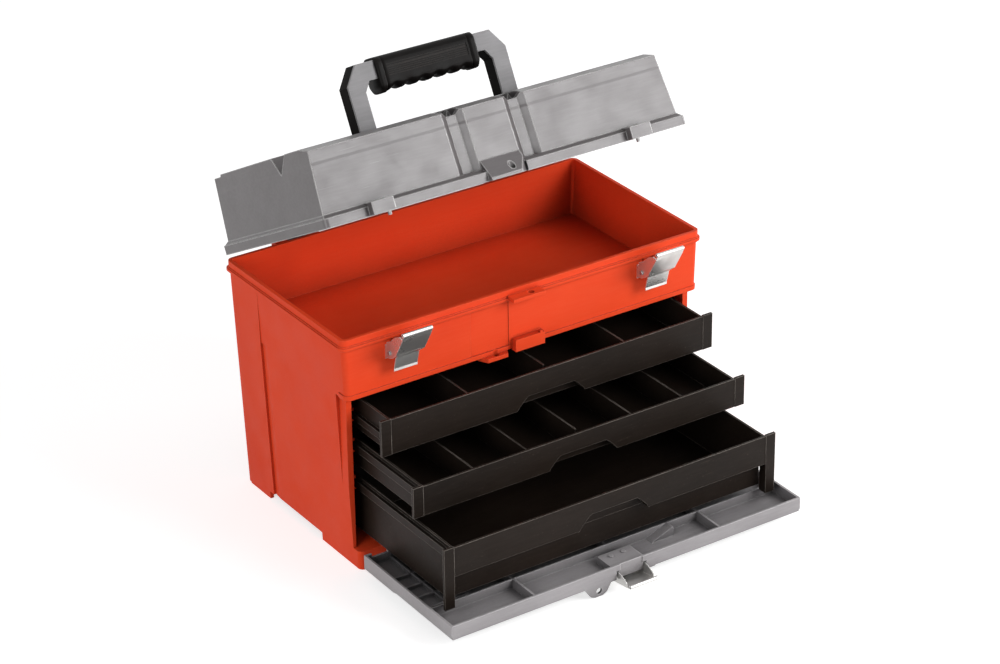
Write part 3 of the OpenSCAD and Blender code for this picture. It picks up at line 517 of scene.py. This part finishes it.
# %% [markdown]
# So far the rows on the front wave along with the underside. On a real grip they
# run straight and only the lowest part waves, so the upper rows are moved back
# to one height. After that rows can be sunk as grooves, and those between them
# are left standing as ribs.

# %% Straighten the rows
STRAIGHT = 0.72


def straighten(grip):
    """Puts the upper share of each section back at one height and squeezes the rest below it."""
    full = grip_section(GRIP_HALF - COLLAR / 2)[1]
    straight = STRAIGHT * full
    for point in grip.data.vertices:
        height = grip_section(point.co.x / MM)[1]
        share = (GRIP_HIGH - point.co.z / MM) / height
        if share < STRAIGHT:
            depth = share * full
        else:
            depth = straight + (share - STRAIGHT) / (1 - STRAIGHT) * (height - straight)
        point.co.z = (GRIP_HIGH - depth) * MM


straighten(grip)
print("straight share of the height:", STRAIGHT)

# %% [markdown]
# A row is found by its height, counted down in steps of `ROW`. The real rows are
# a little narrower than that. They were cut on the end section, which is
# smaller, and grew with it, its corners too. So the count slips once: two
# neighbours are sunk together, as one groove of double width.

# %% Sink the grooves on the grip's front
ROW = (GRIP_HIGH - GRIP_LOW - 2 * CORNER) / ROWS
FIRST_GROOVE_ROW, LAST_GROOVE_ROW = 1, 12
GROOVE_HALF = 50
GROOVE_DEPTH = 1.2
FACING_FRONT = -0.7
SECOND_RUBBER = 1


def sink_grooves(grip):
    """Sinks the rows that count as even and gives their floors the second rubber."""
    edit(grip)

    def in_groove(middle, normal):
        row = round((GRIP_HIGH - middle.z / MM - CORNER) / ROW - 0.5)
        return normal.y < FACING_FRONT and abs(middle.x / MM) < GROOVE_HALF and row % 2 == 0 \
            and FIRST_GROOVE_ROW <= row <= LAST_GROOVE_ROW

    count = pick(grip, in_groove)
    bpy.ops.mesh.extrude_region_shrink_fatten(
        TRANSFORM_OT_shrink_fatten={"value": -GROOVE_DEPTH * MM})
    grip.active_material_index = SECOND_RUBBER
    bpy.ops.object.material_slot_assign()
    done(grip)
    return count


print("groove faces:", sink_grooves(grip))

# %% [markdown]
# The grip is now laid over with the lid. Its gentle curves are shaded smooth and
# the edges of the grooves stay sharp. It rides on the handle and takes the place
# of the plain sleeve of the construction model.

# %% Put the grip on the handle
SHARPER_THAN = math.radians(50)
settle(grip, LID)
lone(grip)
bpy.ops.object.shade_smooth_by_angle(angle=SHARPER_THAN)
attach(grip, "handle")
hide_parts("handle_grip")
print("grip triangles:", sum(len(face.vertices) - 2 for face in grip.data.polygons))

# %% [markdown]
# ## Floor, light and camera
#
# The box stands on plain white. A big soft lamp at the front right gives the
# front its even light and the lid its sheen. A weaker one lifts the left side,
# and a low one at the right picks out the edges that face it. The white
# surroundings do the rest. The floor glows only where the camera or a shiny
# surface sees it, so that it stays white, keeps the soft shadow under the box
# and sheds no light on it.

# %% Floor and lamps
FLOOR_SIZE = 14
FLOOR_WHITE, FLOOR_GLOW = (222, 222, 222), (216, 216, 216)
AIM = Vector((0, -0.1, 0.2))
# Place and size in metres, power in watts
LAMPS = {
    "key_lamp": ((1.5, -2.35, 1.55), 1.7, 62),
    "side_lamp": ((-2.6, -1.0, 0.9), 1.4, 24),
    "edge_lamp": ((2.5, -0.5, 0.6), 1.0, 26),
}


def white_floor():
    bpy.ops.object.select_all(action="DESELECT")
    bpy.ops.mesh.primitive_plane_add(size=FLOOR_SIZE, location=(0, 2, 0))
    floor = bpy.context.object
    floor.name = "floor"
    finish = Finish("white_floor")
    seen = 0
    for kind in ("Is Camera Ray", "Is Glossy Ray", "Is Transmission Ray"):
        seen = seen + finish.node("ShaderNodeLightPath", {}, {}, kind)
    glow = finish.blend(seen, (0, 0, 0), FLOOR_GLOW)
    floor.data.materials.append(finish.close(Base_Color=colour(FLOOR_WHITE), Roughness=0.9,
        Specular_IOR_Level=0.1, Emission_Color=glow, Emission_Strength=1.0))


def soft_lamp(name, place, size, power):
    light = bpy.data.lights.new(name, "AREA")
    light.size = size
    light.energy = power
    lamp = bpy.data.objects.new(name, light)
    lamp.location = place
    lamp.rotation_euler = (AIM - Vector(place)).to_track_quat("-Z", "Y").to_euler()
    bpy.context.scene.collection.objects.link(lamp)


white_floor()
for title, (place, size, power) in LAMPS.items():
    soft_lamp(title, place, size, power)

# %% [markdown]
# The world is white where it is seen, straight or in a shiny surface, and much
# weaker as a light, so that it fills the shadows without flattening them.

# %% The white room
WORLD_LIGHT, WORLD_SEEN = 0.3, 1.0
world = bpy.data.worlds.new("white_room")
world.use_nodes = True
bpy.context.scene.world = world
tree = world.node_tree
rays = tree.nodes.new("ShaderNodeLightPath")
seen = rays.outputs["Is Camera Ray"]
for kind in ("Is Glossy Ray", "Is Transmission Ray"):
    either = tree.nodes.new("ShaderNodeMath")
    tree.links.new(seen, either.inputs[0])
    tree.links.new(rays.outputs[kind], either.inputs[1])
    seen = either.outputs[0]
strength = tree.nodes.new("ShaderNodeMapRange")
strength.inputs["To Min"].default_value = WORLD_LIGHT
strength.inputs["To Max"].default_value = WORLD_SEEN
tree.links.new(seen, strength.inputs["Value"])
tree.nodes["Background"].inputs["Color"].default_value = (1, 1, 1, 1)
tree.links.new(strength.outputs[0], tree.nodes["Background"].inputs["Strength"])
bpy.context.scene.view_settings.view_transform = "Standard"
print("world:", world.name)

# %% [markdown]
# The camera stands well back with a long lens, to the left of the box and
# above it. Its three directions are worked out from how far it has gone round,
# how far up it stands, and a slight roll. The focal length is given in pixels
# of a picture a thousand pixels wide, and the lens wants it in millimetres.

# %% The camera
CAMERA_PLACE = Vector((-1687.19, -2593.76, 1768.07))
ROUND_DEG, UP_DEG, ROLL_DEG = -33.67, 27.29, -0.777
FOCAL_PX, PICTURE_PX = 3217.26, 1000
CAMERA_SHIFT = (0.00249, -0.00463)
SENSOR_WIDTH = 36
FAR_END = 60


def add_camera():
    turn, rise, roll = (math.radians(angle) for angle in (ROUND_DEG, UP_DEG, ROLL_DEG))
    back = Vector((math.sin(turn) * math.cos(rise), -math.cos(turn) * math.cos(rise),
        math.sin(rise)))
    right = Vector((0, 0, 1)).cross(back).normalized()
    above = back.cross(right)
    right, above = (math.cos(roll) * right + math.sin(roll) * above,
        math.cos(roll) * above - math.sin(roll) * right)
    lens = bpy.data.cameras.new("camera")
    lens.sensor_width = SENSOR_WIDTH
    lens.lens = FOCAL_PX / PICTURE_PX * SENSOR_WIDTH
    lens.shift_x, lens.shift_y = CAMERA_SHIFT
    lens.clip_end = FAR_END
    camera = bpy.data.objects.new("camera", lens)
    camera.matrix_world = Matrix.Translation(CAMERA_PLACE * MM) \
        @ Matrix((right, above, back)).transposed().to_4x4()
    bpy.context.scene.collection.objects.link(camera)
    bpy.context.scene.camera = camera
    return camera


camera = add_camera()
print("lens", round(camera.data.lens, 2), "mm")
